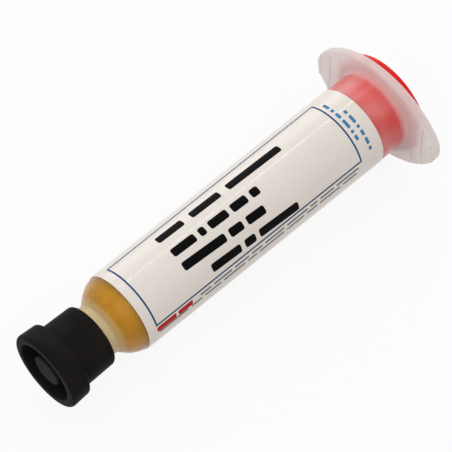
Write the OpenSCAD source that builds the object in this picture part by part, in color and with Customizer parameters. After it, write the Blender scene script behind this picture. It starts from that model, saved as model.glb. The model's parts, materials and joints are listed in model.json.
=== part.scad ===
// Flux paste syringe: a drafted dispensing barrel with a lock collar, closed by a tip cap
// and a rear plug, and holding paste behind a wiper piston. Millimetres.
// Every piece is drawn standing on its nose along +Z and is then laid down as it rests,
// with the lip of the tip cap and the lower edge of the finger flange on the surface.

/* [Barrel] */
// Outer radius where the straight body begins
barrel_front_r = 9.2; // [8.8:0.05:9.8]
// Outer radius where the body meets the flange
barrel_back_r = 9.52; // [9.3:0.02:10]
// Radius of the bore
bore_r = 7.95; // [7.4:0.05:8.2]
// Length of the straight body, up to the flange
body_len = 72.8; // [68:0.2:85]
// Radius of the shoulder's curve
shoulder_round = 7.5; // [6:0.1:9]
// Steepness of the shoulder next to the neck, in degrees
shoulder_angle = 42; // [36:1:50]
// Thickness of the floor between the collar and the paste
floor_t = 1.5; // [1.2:0.1:2.5]
// Fall of the floor towards the outlet
funnel_drop = 0.4; // [0.2:0.1:0.8]
// Chamfer at the open end of the bore
mouth_chamfer = 0.4; // [0.2:0.1:0.8]

/* [Outlet] */
// Outer radius of the lock collar, which is also the neck
collar_r = 5.9; // [5.6:0.05:6.1]
// Radius inside the lock collar, at the root of its thread
collar_bore_r = 4.05; // [3.95:0.05:4.3]
// Length of neck between the collar's floor and the shoulder
neck_len = 0.5; // [0.2:0.1:1.2]
// Radius of the tapered outlet at its end
outlet_tip_r = 1.99; // [1.9:0.01:2.1]
// Length of the tapered outlet
outlet_len = 8.4; // [7.8:0.1:9]
// Growth of the outlet's radius for each millimetre of length
outlet_taper = 0.03; // [0.02:0.005:0.04]
// How far the outlet stands out of the collar
outlet_lead = 2; // [1.2:0.1:2.6]
// Radius of the channel through the outlet
channel_r = 1.1; // [0.8:0.05:1.3]

/* [Finger flange] */
// Half of the flange's long side
flange_half_len = 17.65; // [16:0.05:20]
// Half of the flange's short side
flange_half_w = 12.6; // [12.2:0.05:13.4]
// Radius of the rounded ends
flange_end_r = 7.3; // [6:0.1:9]
// Thickness
flange_t = 2.1; // [1.6:0.1:3]
// Rounding of its edges
flange_edge = 0.5; // [0.3:0.05:0.7]
// Fillet between the body and the flange
flange_fillet = 0.8; // [0.3:0.1:1.2]
// Distance from the axis to the first grip rib
rib_first = 11; // [10.8:0.05:11.6]
// Distance between grip ribs
rib_pitch = 2.75; // [1.8:0.05:2.8]
// Number of grip ribs on each ear
rib_count = 3; // [1:1:3]
// Width of a grip rib
rib_w = 0.7; // [0.4:0.1:1]
// Height of a grip rib
rib_h = 0.35; // [0.2:0.05:0.6]
// Clear margin between a rib's end and the flange's edge
rib_margin = 0.9; // [0.6:0.1:1.4]

/* [Label] */
// Length of the label
label_len = 66.9; // [55:0.1:70]
// How far the label reaches onto the shoulder's curve
label_reach = 1.2; // [0:0.1:1.8]
// Thickness of the label
label_t = 0.1; // [0.06:0.01:0.2]
// Glue line under the label
label_glue = 0.02; // [0.01:0.01:0.04]
// Angle left bare between the label's two edges, in degrees
label_seam = 24; // [6:1:60]

/* [Paste] */
// Length of paste in the straight part of the bore
paste_len = 46.4; // [30:0.2:52]
// Clearance between the paste and the walls round it
paste_gap = 0.04; // [0.02:0.01:0.1]
// Clearance between the paste and the piston
paste_piston_gap = 0.15; // [0.05:0.01:0.3]

/* [Piston] */
// Height of the nose cone
nose_len = 3.2; // [2:0.1:4]
// Radius of the flat at the nose's end
nose_r = 2.4; // [1.5:0.1:3.5]
// Axial length of a wiper lip
lip_len = 1.2; // [0.8:0.1:1.8]
// Clearance between a wiper lip and the bore
wiper_gap = 0.1; // [0.05:0.01:0.2]
// How far the waist stands back from the lips
waist_step = 0.7; // [0.4:0.1:1.1]
// Length of the piston behind its nose
skirt_len = 8.2; // [7:0.1:10]
// Thickness of the piston's wall at the waist
piston_wall = 1.3; // [1:0.1:1.8]
// Thickness of the piston behind its nose flat
piston_floor = 2.2; // [1.6:0.1:3]

/* [Tip cap] */
// Length of the tip cap
cap_len = 12.9; // [12.2:0.1:13.6]
// Outer radius of the cap's flared lip
cap_lip_r = 9; // [8.6:0.05:9.6]
// Rounding at the front of the lip
cap_lip_round = 1.2; // [0.8:0.1:1.6]
// Outer radius at the back of the lip
cap_lip_back_r = 8.7; // [8.3:0.05:8.9]
// Rounding at the back of the lip
cap_back_round = 0.7; // [0.3:0.1:0.9]
// Axial length of the lip
cap_lip_len = 4.7; // [4.2:0.1:5.4]
// Radius of the mouth at the front
cap_mouth_r = 6.9; // [6.6:0.05:7.3]
// Rounding of the mouth's edge
cap_mouth_round = 0.5; // [0.2:0.1:0.7]
// Depth of the ring-shaped recess in the front
cap_recess = 4.2; // [3.2:0.1:4.6]
// How much the recess narrows towards its floor
cap_recess_draft = 0.5; // [0.1:0.1:0.9]
// Radius of the post in the recess
cap_post_r = 3.74; // [3.5:0.02:4]
// How far the post stands back from the front
cap_post_setback = 0.85; // [0.3:0.05:1.4]
// Rounding of the post's edge
cap_post_round = 0.45; // [0.2:0.05:0.7]
// Thickness of the web between the recess and the outlet
cap_web = 1.5; // [1.2:0.1:2]
// Outer radius of the cap's body behind the lip
cap_body_r = 7.43; // [7.3:0.01:7.7]
// Outer radius of the cap's body at its rear
cap_rear_r = 7.25; // [7.2:0.01:7.4]
// Rounding of the rear edge
cap_rear_round = 0.8; // [0.4:0.1:0.9]
// Clearance between the cap's skirt and the lock collar
cap_collar_gap = 0.25; // [0.15:0.05:0.35]
// Outer radius of the cap's inner hub
hub_r = 3.35; // [3.2:0.05:3.45]
// Clearance between the hub's socket and the outlet
hub_gap = 0.05; // [0.03:0.01:0.1]
// Clearance between the hub's end and the collar's floor
hub_floor_gap = 1.3; // [0.8:0.1:2]
// Axial thickness of the hub's two lugs
lug_t = 0.9; // [0.6:0.1:1.2]
// Distance from the hub's end to its lugs
lug_setback = 0.2; // [0.1:0.05:0.6]
// Clearance between a lug and the wall of the collar
lug_gap = 0.2; // [0.1:0.05:0.3]
// Angle that a lug takes up, in degrees
lug_angle = 70; // [50:5:100]
// Clearance between the outlet's end and the cap's web
outlet_gap = 0.4; // [0.2:0.1:0.8]

/* [End cap] */
// Outer radius of the end cap's head
head_r = 11.9; // [11:0.05:12.1]
// Thickness of the head
head_t = 1.45; // [1.1:0.05:2.2]
// Rounding of the head's edges
head_round = 0.5; // [0.2:0.05:0.55]
// Clearance between the head and the flange
head_gap = 0.05; // [0.03:0.01:0.1]
// Length of the plug inside the bore
plug_len = 11.2; // [9:0.1:12]
// Wall of the plug
plug_wall = 1.1; // [0.9:0.1:1.6]
// Clearance between the plug and the bore
plug_gap = 0.1; // [0.05:0.01:0.2]
// Chamfer on the plug's leading edge
plug_chamfer = 0.6; // [0.3:0.1:0.8]

/* [Hidden] */
$fn = 96;
// Steps in each quarter turn of a profile's curve
arc_steps = 10;
// Overlap that lets joined solids share volume
weld = 0.2;
// Overshoot of a cut past the face that it opens
overshoot = 1;

// Stations along the axis, from the front of the tip cap
web_back = cap_recess + cap_web;
outlet_end = web_back + outlet_gap;
collar_front = outlet_end + outlet_lead;
collar_floor = outlet_end + outlet_len;
neck_back = collar_floor + neck_len;
shoulder_fall = shoulder_round * (1 - cos(shoulder_angle));
cone_len = (barrel_front_r - shoulder_fall - collar_r) / tan(shoulder_angle);
body_start = neck_back + cone_len + shoulder_round * sin(shoulder_angle);
flange_front = body_start + body_len;
flange_back = flange_front + flange_t;
head_front = flange_back + head_gap;
total_len = head_front + head_t;
inner_floor = collar_floor + floor_t;
lip_front = body_start + paste_len;
piston_back = lip_front + skirt_len;
plug_front = head_front - plug_len;

// Radii that follow from the ones above
shoulder_wall = barrel_front_r - bore_r;
inner_round = shoulder_round - shoulder_wall;
inner_cone_r = barrel_front_r - shoulder_round + inner_round * cos(shoulder_angle);
inner_cone_z = body_start - inner_round * sin(shoulder_angle);
inner_floor_r = inner_cone_r - (inner_cone_z - inner_floor) * tan(shoulder_angle);
wiper_r = bore_r - wiper_gap;
waist_r = wiper_r - waist_step;
cup_r = waist_r - piston_wall;
plug_r = bore_r - plug_gap;
cap_bore_r = collar_r + cap_collar_gap;
lug_r = collar_bore_r - lug_gap;
hub_end = collar_floor - hub_floor_gap;

// The flange's outline is two wide arcs joined smoothly to two end arcs
flange_end_x = flange_half_len - flange_end_r;
flange_side_r = (pow(flange_end_x, 2) + pow(flange_half_w, 2) - pow(flange_end_r, 2))
    / (2 * (flange_half_w - flange_end_r));
flange_side_x = flange_side_r - flange_half_w;
flange_join = flange_side_r * flange_end_x / (flange_side_r - flange_end_r);

// Lying down: the lip's rounding and the flange's lower edge touch the same surface
rest_run = flange_front + flange_edge - cap_lip_round;
rest_rise = (flange_half_w - flange_edge) - (cap_lip_r - cap_lip_round);
rest_tilt = atan2(rest_rise, rest_run)
    + asin((flange_edge - cap_lip_round) / norm([rest_run, rest_rise]));
rest_lift = cap_lip_round + (cap_lip_r - cap_lip_round) * cos(rest_tilt) - cap_lip_round * sin(rest_tilt);
low_x = cap_lip_round * cos(rest_tilt) - (cap_lip_r - cap_lip_round) * sin(rest_tilt) - cap_lip_round;
high_x = (total_len - head_round) * cos(rest_tilt) + (head_r - head_round) * sin(rest_tilt) + head_round;

// Points of an arc about [r, z]; 0 degrees points outwards and 90 towards the rear
function arc(centre, radius, from, to) =
    let (steps = max(2, ceil(abs(to - from) / 90 * arc_steps)))
    [for (i = [0:steps])
        let (a = from + (to - from) * i / steps)
        centre + radius * [cos(a), sin(a)]];

// Outer radius of the barrel at a station on its shoulder curve or its body
function body_r(z) = z < body_start
    ? barrel_front_r - shoulder_round + sqrt(pow(shoulder_round, 2) - pow(body_start - z, 2))
    : barrel_front_r + (barrel_back_r - barrel_front_r) * (z - body_start) / body_len;

// Inside of the barrel from the bore to the channel, drawn in by a clearance
function inner_points(inset) = concat(
    arc([barrel_front_r - shoulder_round, body_start], inner_round - inset, 0, -shoulder_angle),
    [[inner_floor_r - inset / cos(shoulder_angle), inner_floor + inset],
     [channel_r - inset, inner_floor - funnel_drop + inset]]);

module lay_down() {
    translate([-(low_x + high_x) / 2, 0, rest_lift])
        rotate([0, 90 - rest_tilt, 0])
        children();
}

module revolve(points) {
    rotate_extrude() polygon(points);
}

// A round disc with both edges rounded
module soft_disc(radius, thickness, edge) {
    revolve(concat(
        [[0, 0]],
        arc([radius - edge, edge], edge, -90, 0),
        arc([radius - edge, thickness - edge], edge, 0, 90),
        [[0, thickness]]));
}

module flange_plate() {
    intersection() {
        translate([flange_side_x, 0, 0]) soft_disc(flange_side_r, flange_t, flange_edge);
        translate([-flange_side_x, 0, 0]) soft_disc(flange_side_r, flange_t, flange_edge);
        translate([-flange_side_r, -flange_join, -overshoot])
            cube([2 * flange_side_r, 2 * flange_join, flange_t + 2 * overshoot]);
    }
    for (side = [-1, 1])
        translate([0, side * flange_end_x, 0]) soft_disc(flange_end_r, flange_t, flange_edge);
}

// Straight grip ribs across each ear, ended a margin inside the flange's outline
module grip_ribs() {
    for (side = [-1, 1], i = [0:rib_count - 1]) {
        rib_y = rib_first + i * rib_pitch;
        half = rib_y < flange_join
            ? sqrt(pow(flange_side_r, 2) - pow(rib_y, 2)) - flange_side_x
            : sqrt(pow(flange_end_r, 2) - pow(rib_y - flange_end_x, 2));
        translate([0, side * rib_y, -rib_h / 2 + weld / 2])
            cube([2 * (half - rib_margin), rib_w, rib_h + weld], center = true);
    }
}

module barrel() {
    color([0.92, 0.89, 0.84, 0.6])
    lay_down() {
        difference() {
            union() {
                revolve(concat(
                    [[0, neck_back - neck_len], [collar_r, neck_back - neck_len], [collar_r, neck_back]],
                    arc([barrel_front_r - shoulder_round, body_start], shoulder_round, -shoulder_angle, 0),
                    [[body_r(flange_front - flange_fillet), flange_front - flange_fillet]],
                    arc([body_r(flange_front - flange_fillet) + flange_fillet, flange_front - flange_fillet],
                        flange_fillet, 180, 90),
                    [[barrel_back_r + flange_fillet, flange_back - flange_edge],
                     [0, flange_back - flange_edge]]));
                translate([0, 0, flange_front]) {
                    flange_plate();
                    grip_ribs();
                }
            }
            revolve(concat(
                [[0, flange_back + overshoot], [bore_r + mouth_chamfer + overshoot, flange_back + overshoot],
                 [bore_r, flange_back - mouth_chamfer]],
                inner_points(0),
                [[channel_r, collar_floor - overshoot], [0, collar_floor - overshoot]]));
        }
        // Lock collar
        revolve([[collar_bore_r, collar_front], [collar_r, collar_front],
                 [collar_r, collar_floor + weld], [collar_bore_r, collar_floor + weld]]);
        // Tapered outlet
        revolve([[channel_r, outlet_end], [outlet_tip_r, outlet_end],
                 [outlet_tip_r + outlet_len * outlet_taper, collar_floor],
                 [outlet_tip_r + outlet_len * outlet_taper, collar_floor + weld],
                 [channel_r, collar_floor + weld]]);
    }
}

// A thin printed sleeve that follows the barrel and stops short of meeting itself
module label() {
    front = body_start - label_reach;
    stations = concat([for (i = [0:4]) front + (body_start - front) * i / 5], [body_start, front + label_len]);
    color([0.95, 0.94, 0.92])
    lay_down()
    rotate([0, 0, label_seam / 2])
    rotate_extrude(angle = 360 - label_seam)
    polygon(concat(
        [for (z = stations) [body_r(z) + label_glue, z]],
        [for (i = [len(stations) - 1:-1:0]) [body_r(stations[i]) + label_glue + label_t, stations[i]]]));
}

module flux_paste() {
    face = -paste_piston_gap;
    color([0.75, 0.52, 0.14])
    lay_down()
    revolve(concat(
        [[0, outlet_end + paste_gap], [channel_r - paste_gap, outlet_end + paste_gap]],
        [for (i = [len(inner_points(paste_gap)) - 1:-1:0]) inner_points(paste_gap)[i]],
        [[bore_r - paste_gap, lip_front + face],
         [wiper_r, lip_front + face],
         [nose_r, lip_front - nose_len + face],
         [0, lip_front - nose_len + face]]));
}

// Wiper piston: a cone nose, two lips that scrape the bore and an open cup at the rear
module piston() {
    nose_front = lip_front - nose_len;
    color([0.96, 0.96, 0.95])
    lay_down()
    revolve([[0, nose_front], [nose_r, nose_front],
             [wiper_r, lip_front], [wiper_r, lip_front + lip_len],
             [waist_r, lip_front + lip_len + waist_step],
             [waist_r, piston_back - lip_len - waist_step],
             [wiper_r, piston_back - lip_len], [wiper_r, piston_back],
             [cup_r, piston_back],
             [cup_r, lip_front + lip_len],
             [nose_r, nose_front + piston_floor],
             [0, nose_front + piston_floor]]);
}

// Tip cap: a flared cup round a post, a skirt over the collar and a lugged hub inside it
module tip_cap() {
    socket_r = outlet_tip_r + hub_gap;
    color([0.13, 0.12, 0.12])
    lay_down() {
        revolve(concat(
            [[0, cap_post_setback]],
            arc([cap_post_r - cap_post_round, cap_post_setback + cap_post_round], cap_post_round, -90, 0),
            [[cap_post_r, cap_recess], [cap_mouth_r - cap_recess_draft, cap_recess]],
            arc([cap_mouth_r + cap_mouth_round, cap_mouth_round], cap_mouth_round, 180, 270),
            arc([cap_lip_r - cap_lip_round, cap_lip_round], cap_lip_round, -90, 0),
            arc([cap_lip_back_r - cap_back_round, cap_lip_len - cap_back_round], cap_back_round, 0, 90),
            [[cap_body_r, cap_lip_len]],
            arc([cap_rear_r - cap_rear_round, cap_len - cap_rear_round], cap_rear_round, 0, 90),
            [[cap_bore_r, cap_len], [cap_bore_r, web_back], [hub_r, web_back], [hub_r, hub_end],
             [socket_r + (hub_end - outlet_end) * outlet_taper, hub_end],
             [socket_r, outlet_end], [socket_r, web_back], [0, web_back]]));
        for (side = [0, 180])
            rotate([0, 0, side - lug_angle / 2])
            rotate_extrude(angle = lug_angle)
            translate([hub_r - weld, hub_end - lug_setback - lug_t])
            square([lug_r - hub_r + weld, lug_t]);
    }
}

// End cap: a flat round head behind the flange and a hollow plug in the bore
module end_cap() {
    color([0.87, 0.1, 0.05])
    lay_down() {
        translate([0, 0, head_front]) soft_disc(head_r, head_t, head_round);
        revolve([[plug_r - plug_wall, plug_front], [plug_r - plug_chamfer, plug_front],
                 [plug_r, plug_front + plug_chamfer * 2],
                 [plug_r, head_front + weld], [plug_r - plug_wall, head_front + weld]]);
    }
}

barrel();
label();
flux_paste();
piston();
tip_cap();
end_cap();
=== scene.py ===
import json
import math

import bmesh
import bpy
from bpy.props import FloatProperty, FloatVectorProperty, IntProperty, PointerProperty
from mathutils import Matrix, Quaternion, Vector


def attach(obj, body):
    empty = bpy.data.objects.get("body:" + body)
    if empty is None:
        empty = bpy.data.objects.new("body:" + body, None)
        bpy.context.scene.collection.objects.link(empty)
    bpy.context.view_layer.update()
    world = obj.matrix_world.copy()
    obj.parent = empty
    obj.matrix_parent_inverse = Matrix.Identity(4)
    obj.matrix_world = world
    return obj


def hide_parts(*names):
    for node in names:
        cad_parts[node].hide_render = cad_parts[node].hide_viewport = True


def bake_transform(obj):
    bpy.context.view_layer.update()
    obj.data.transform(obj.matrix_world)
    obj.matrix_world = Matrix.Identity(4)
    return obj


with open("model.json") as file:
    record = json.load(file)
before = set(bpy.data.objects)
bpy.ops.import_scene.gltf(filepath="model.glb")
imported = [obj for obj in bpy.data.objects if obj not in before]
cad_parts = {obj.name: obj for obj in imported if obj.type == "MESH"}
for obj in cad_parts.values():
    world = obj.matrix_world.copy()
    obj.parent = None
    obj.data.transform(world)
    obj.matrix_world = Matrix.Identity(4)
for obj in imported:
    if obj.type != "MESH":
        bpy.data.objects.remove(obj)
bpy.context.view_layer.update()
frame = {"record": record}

bl_info = {
    "name": "Paste syringe looks",
    "version": (1, 0, 0),
    "blender": (4, 5, 0),
    "location": "3D Viewport > Sidebar > Syringe",
    "description": "Builds the visible pieces, finishes, light and camera of a prefilled paste syringe",
    "category": "Object",
}

MM = 0.001

# The barrel's axis runs through the end cap's rear face, which the frame gives
END_FACE = next(m for m in frame["record"]["mounts"] if m["name"] == "end_cap_face")
AXIS = Vector(END_FACE["axis"]).normalized()
TILT = math.asin(AXIS.z)

FULL_TURN = 2 * math.pi
# Steps round a turned piece, the label, the thread's turn and a lug
TURN_STEPS = 128
LABEL_STEPS = 120
THREAD_STEPS = 72
LUG_STEPS = 24
# Steps in a quarter turn of a profile's curve, from the shoulder's to the smallest edges'
SHOULDER_STEPS = 16
WIDE_STEPS = 12
CURVE_STEPS = 8
ROOT_STEPS = 6
RIM_STEPS = 5
EDGE_STEPS = 4
# Rings of faces in the hollow at a rib's foot, and in the label's bend over the shoulder
FOOT_RINGS = 3
BEND_RINGS = 6
# Angle between the cuts that let print follow the label's curve
PRINT_STEP = math.radians(3)
# Points closer than this are one point
WELD = 2e-7
# Points this close to a height are at it
NEAR = 10 * WELD
# How far a ridge reaches into the wall that carries it
SUNK = 0.1 * MM
# Edges that turn more than this stay crisp
CRISP = math.radians(32)
# Specular level of a dull surface, where a half is plain plastic's
DULL = 0.05

# Bars of print that run along the label, by ink, in millimetres and degrees: width and corners of the
# bars, then each row's angle, station and lean at its start, the gap between bars, and their lengths
LONG_ROWS = {
    "black": (1.95, 0.5, (
        (-18, 33.9, 1.3, 2.1, (7.0, 8.0, 14.8)),
        (10.2, 34.0, 1.5, 1.1, (6.2, 1.6, 5.0, 4.2, 2.2)),
        (31.9, 33.9, 2.7, 1.1, (11.4, 3.6, 4.9)),
        (57.4, 39.1, 2.45, 1.1, (8.0, 2.9, 10.9)),
    )),
    "red": (1.3, 0.3, ((80.5, 22.6, 0, 0.6, (5.2, 3.9)),)),
    "grey": (0.45, 0.15, (
        (79.5, 34.5, 0, 0.8, (3, 5, 4, 3, 5.5, 6, 2, 4, 6.5)),
        (86.5, 23.0, 0, 0.8, (8, 3, 4.5, 6, 2.5, 7, 5, 3, 6, 4)),
    )),
}
# Bars that run round the label: their length along the barrel, corners, gap in degrees and the radius
# at which widths are measured, then each row's station, the angle of its start and its widths
ROUND_LENGTH, ROUND_CORNER, ROUND_GAP, ROUND_R = 0.75, 0.2, 3.6, 9.5
ROUND_ROWS = (
    (82.3, -23, (1.8, 0.8, 1.5, 2.2, 0.7, 1.2)),
    (84.1, 4, (0.9, 2.0, 0.7, 1.3, 1.6, 0.9)),
)

# Where each lamp stands, and its two sides, in metres: a wide soft light in front and overhead, one
# behind, and a narrow strip for a long highlight
LAMPS = (
    ("key", (-0.4, -0.3, 0.85), (0.8, 0.8)),
    ("back", (0.45, 0.85, 0.38), (0.9, 0.6)),
    ("strip", (0.37, 0.373, 0.85), (1.1, 0.03)),
)


def length(name, default, text):
    """A size property in metres, given here in millimetres."""
    return FloatProperty(name=name, description=text, default=default * MM, unit="LENGTH", precision=5)


def colour(name, default, text):
    """A colour property in linear values."""
    return FloatVectorProperty(name=name, description=text, default=default, subtype="COLOR",
                               size=3, min=0, max=1)


def share(name, default, text):
    """A property between none and all."""
    return FloatProperty(name=name, description=text, default=default, min=0, max=1, subtype="FACTOR")


def degrees(name, default, text):
    """An angle property, given here in degrees."""
    return FloatProperty(name=name, description=text, default=math.radians(default), subtype="ANGLE")


def number(name, default, text, unit="NONE"):
    """A number that isn't negative."""
    return FloatProperty(name=name, description=text, default=default, min=0, unit=unit)


# A station is a distance along the axis, from the syringe's foremost point towards the end cap
class BarrelSizes(bpy.types.PropertyGroup):
    total: length("Total length", 97.944, "From the tip cap's front to the end cap's rear face")
    front_r: length("Front radius", 9.2, "Outer radius where the straight body begins")
    back_r: length("Back radius", 9.52, "Outer radius at the flange")
    bore_r: length("Bore radius", 7.95, "Radius of the bore")
    body_start: length("Body start", 21.544, "Station where the straight body begins")
    shoulder_round: length("Shoulder curve", 7.5, "Radius of the shoulder's curve")
    shoulder_angle: degrees("Shoulder angle", 42, "Steepness of the shoulder at the neck")
    neck_round: length("Neck curve", 0.6, "Hollow curve between neck and shoulder")
    collar_r: length("Collar radius", 5.9, "Outer radius of the lock collar")
    collar_bore_r: length("Collar bore", 4.05, "Radius inside the lock collar")
    collar_front: length("Collar front", 8.1, "Station of the collar's open end")
    collar_floor: length("Collar floor", 14.5, "Station of the collar's floor")
    outlet_end: length("Outlet end", 6.1, "Station of the outlet's end")
    outlet_tip_r: length("Outlet radius", 1.99, "Outer radius of the outlet at its end")
    outlet_base_r: length("Outlet base radius", 2.242, "Outer radius of the outlet at the collar's floor")
    channel_r: length("Channel radius", 1.1, "Radius of the channel through the outlet")
    floor_back: length("Floor back", 16.0, "Station of the inner floor at its edge")
    funnel_drop: length("Funnel drop", 0.4, "Fall of the inner floor towards the channel")
    flange_front: length("Flange front", 94.344, "Station of the flange's tip-facing face")
    flange_t: length("Flange thickness", 2.1, "Thickness of the flange")
    flange_half_len: length("Flange half length", 17.65, "Half of the flange's long side")
    flange_half_w: length("Flange half width", 12.6, "Half of the flange's short side")
    flange_end_r: length("Flange end radius", 7.3, "Radius of the flange's rounded ends")
    flange_edge: length("Flange edge", 0.5, "Rounding of the flange's edges")
    flange_fillet: length("Flange fillet", 0.8, "Fillet between body and flange")
    mouth_chamfer: length("Mouth chamfer", 0.4, "Chamfer at the open end of the bore")
    lip_edge: length("Collar edge", 0.25, "Rounding at the collar's open end")
    rib_first: length("First rib", 11.0, "Distance from the axis to the first grip rib")
    rib_pitch: length("Rib pitch", 2.75, "Distance between grip ribs")
    rib_count: IntProperty(name="Ribs", description="Grip ribs on each ear", default=3, min=1)
    rib_w: length("Rib width", 0.7, "Width of a grip rib")
    rib_h: length("Rib height", 0.35, "Height of a grip rib")
    rib_corner: share("Rib corners", 0.4, "Rounding of a rib's ends, as a share of its width")
    rib_crest: share("Rib crest", 0.7, "Rounding of a rib's crest, as a share of its height")
    rib_margin: length("Rib margin", 0.9, "Clear margin at a rib's end")
    rib_foot: length("Rib foot", 0.12, "Hollow curve between a rib and the flange")
    thread_lead: length("Thread lead", 5.0, "Advance of the collar's thread in one turn")
    thread_r: length("Thread crest", 3.6, "Radius of the thread's crest")
    thread_half: length("Thread half width", 0.55, "Half of the ridge's width at its root")
    thread_crest: share("Thread crest width", 0.3, "Width of the crest, as a share of the root's")
    thread_margin: length("Thread margin", 0.9, "Clear margin at each end of the thread")
    tint: colour("Tint", (0.99, 0.98, 0.975), "Tint of the natural plastic")
    # Painted glow: the neck's colour is painted amber, standing in for the paste's light that shows through
    # the thick neck
    painted_neck_glow: colour("Neck tint", (0.98, 0.79, 0.44), "Tint where paste shows through the thick neck")
    wall_clear: share("Clear wall", 0.985, "How clear the thin wall is")
    rear_clear: share("Clear rear", 0.93, "How clear the wall is next to the flange")
    neck_clear: share("Clear neck", 0.32, "How clear the neck and collar are")
    flange_clear: share("Clear flange", 0.5, "How clear the flange is")
    film: share("Air film", 0.2, "How much haze an uneven film of air brings to the rear wall")
    film_left: share("Film at the flange", 0.3, "How much of that haze is left at the flange")
    milk: share("Milk", 0.3, "Light that comes through the milky plastic from behind")
    wall_rough: share("Wall roughness", 0.25, "Roughness of the body's surface")
    flange_rough: share("Flange roughness", 0.45, "Roughness of the frosted flange")
    neck_haze: length("Neck haze", 0.4, "How far behind the inner floor the milky neck turns clear")
    # Where that painted glow starts to fade towards the body
    neck_glow_fade: length("Neck warmth", 1.5, "How far behind the inner floor its tint starts to fade")
    rear_haze: length("Rear haze", 8.0, "Length of the hazy wall next to the flange")
    frost_run: length("Frost run", 1.5, "Length over which the wall turns frosted")


class LabelSizes(bpy.types.PropertyGroup):
    front: length("Label front", 20.344, "Station of the label's front edge")
    back: length("Label back", 87.244, "Station of the label's rear edge")
    glue: length("Glue line", 0.02, "Gap under the label")
    thickness: length("Thickness", 0.1, "Thickness of the label")
    seam: degrees("Seam", 24, "Angle left bare underneath")
    ink: length("Ink", 0.012, "Thickness of the print")
    ink_sunk: length("Sunk ink", 0.0012, "How far the print's underside reaches into the label")
    frame_front: length("Frame front", 22.5, "Station of the frame line's front side")
    frame_back: length("Frame back", 81.1, "Station of the frame line's rear side")
    frame_low: degrees("Frame low side", 73.9, "Angle of the frame line's near side")
    frame_high: degrees("Frame high side", -38.2, "Angle of the frame line's far side")
    frame_w: length("Frame width", 0.4, "Width of the frame line")
    crease_start: length("Crease start", 0.5, "How far behind the front edge its creases start to fade")
    crease_end: length("Crease end", 4.0, "How far behind the front edge its creases end")
    paper: colour("Paper", (0.82, 0.765, 0.71), "Colour of the label")
    line: colour("Frame line", (0.012, 0.075, 0.20), "Colour of the frame line")
    black: colour("Black ink", (0.003, 0.003, 0.0035), "Colour of the large bars")
    red: colour("Red ink", (0.50, 0.025, 0.02), "Colour of the red bars")
    grey: colour("Grey ink", (0.13, 0.15, 0.20), "Colour of the fine bars")
    pale_blue: colour("Pale blue ink", (0.06, 0.22, 0.42), "Colour of the bars round the label")


class PasteSizes(bpy.types.PropertyGroup):
    wet: length("Wetting", 0.02, "Paste and wall share a surface: how far the paste reaches into it")
    face: length("Face", 67.794, "Station of the paste's rear rim")
    colour: colour("Paste", (0.60, 0.31, 0.003), "Colour of the paste")


class PistonSizes(bpy.types.PropertyGroup):
    lip_front: length("Lip front", 67.944, "Station of the front wiper lip")
    back: length("Back", 76.144, "Station of the piston's rear")
    lip_r: length("Lip radius", 7.85, "Radius of the wiper lips")
    waist_r: length("Waist radius", 7.15, "Radius between the lips")
    cup_r: length("Cup radius", 5.85, "Radius of the rear cup")
    nose_r: length("Nose radius", 2.4, "Radius of the nose's flat")
    nose_len: length("Nose length", 3.2, "Height of the nose cone")
    lip_len: length("Lip length", 1.2, "Length of a wiper lip")
    floor_t: length("Floor", 2.2, "Thickness behind the nose")
    edge: length("Edge", 0.25, "Rounding of the rear edges")
    colour: colour("Plastic", (0.84, 0.84, 0.82), "Colour of the piston")


class TipCapSizes(bpy.types.PropertyGroup):
    lip_r: length("Lip radius", 8.98, "Outer radius of the flared lip")
    front: length("Cap front", 0.015, "Station of the lip's front edge")
    lip_round: length("Lip rounding", 0.8, "Rounding at the lip's front")
    lip_back_r: length("Lip back radius", 8.75, "Outer radius at the lip's back")
    back_round: length("Back rounding", 0.5, "Rounding at the lip's back")
    lip_len: length("Lip length", 4.85, "Length of the lip")
    mouth_r: length("Mouth radius", 6.9, "Radius of the front mouth")
    mouth_round: length("Mouth rounding", 0.3, "Rounding of the mouth")
    recess: length("Recess", 4.1, "Depth of the ring-shaped recess")
    recess_draft: length("Recess draft", 0.5, "Narrowing of the recess towards its floor")
    post_r: length("Post radius", 3.6, "Radius of the post")
    post_setback: length("Post setback", 0.55, "Distance from the front to the post")
    post_round: length("Post rounding", 0.45, "Rounding of the post's edge")
    root_round: length("Root rounding", 0.4, "Hollow curves where walls meet")
    web_back: length("Web back", 5.7, "Station behind the web")
    body_r: length("Body radius", 7.43, "Outer radius behind the lip")
    rear_r: length("Rear radius", 7.25, "Outer radius at the rear")
    rear_round: length("Rear rounding", 0.8, "Rounding of the rear edge")
    back: length("Back", 13.05, "Station of the cap's rear")
    bore_r: length("Skirt bore", 6.15, "Inner radius of the skirt")
    hub_r: length("Hub radius", 3.35, "Outer radius of the inner hub")
    hub_end: length("Hub end", 13.2, "Station of the hub's end")
    socket_r: length("Socket radius", 2.04, "Radius of the hub's socket")
    lug_r: length("Lug radius", 3.85, "Outer radius of the lugs")
    lug_t: length("Lug thickness", 0.9, "Thickness of a lug")
    lug_slope: share("Lug slope", 0.2, "How much thinner a lug is at its crest than at its root")
    lug_setback: length("Lug setback", 0.2, "Distance from the hub's end to a lug")
    lug_angle: degrees("Lug angle", 70, "Angle that a lug takes up")
    colour: colour("Plastic", (0.0125, 0.0112, 0.0102), "Colour of the cap")


class EndCapSizes(bpy.types.PropertyGroup):
    head_r: length("Head radius", 11.9, "Radius of the head")
    head_t: length("Head thickness", 1.45, "Thickness of the head")
    head_round: length("Head rounding", 0.5, "Rounding of the head's edges")
    plug_front: length("Plug front", 85.294, "Station of the plug's front")
    plug_r: length("Plug radius", 7.97, "Outer radius of the plug, which is pressed into the bore")
    plug_wall: length("Plug wall", 1.1, "Wall of the plug")
    chamfer: length("Chamfer", 0.6, "Chamfer on the plug's front edge")
    root_round: length("Root rounding", 0.3, "Hollow curve inside the plug")
    colour: colour("Plastic", (0.76, 0.010, 0.005), "Colour of the end cap")


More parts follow.
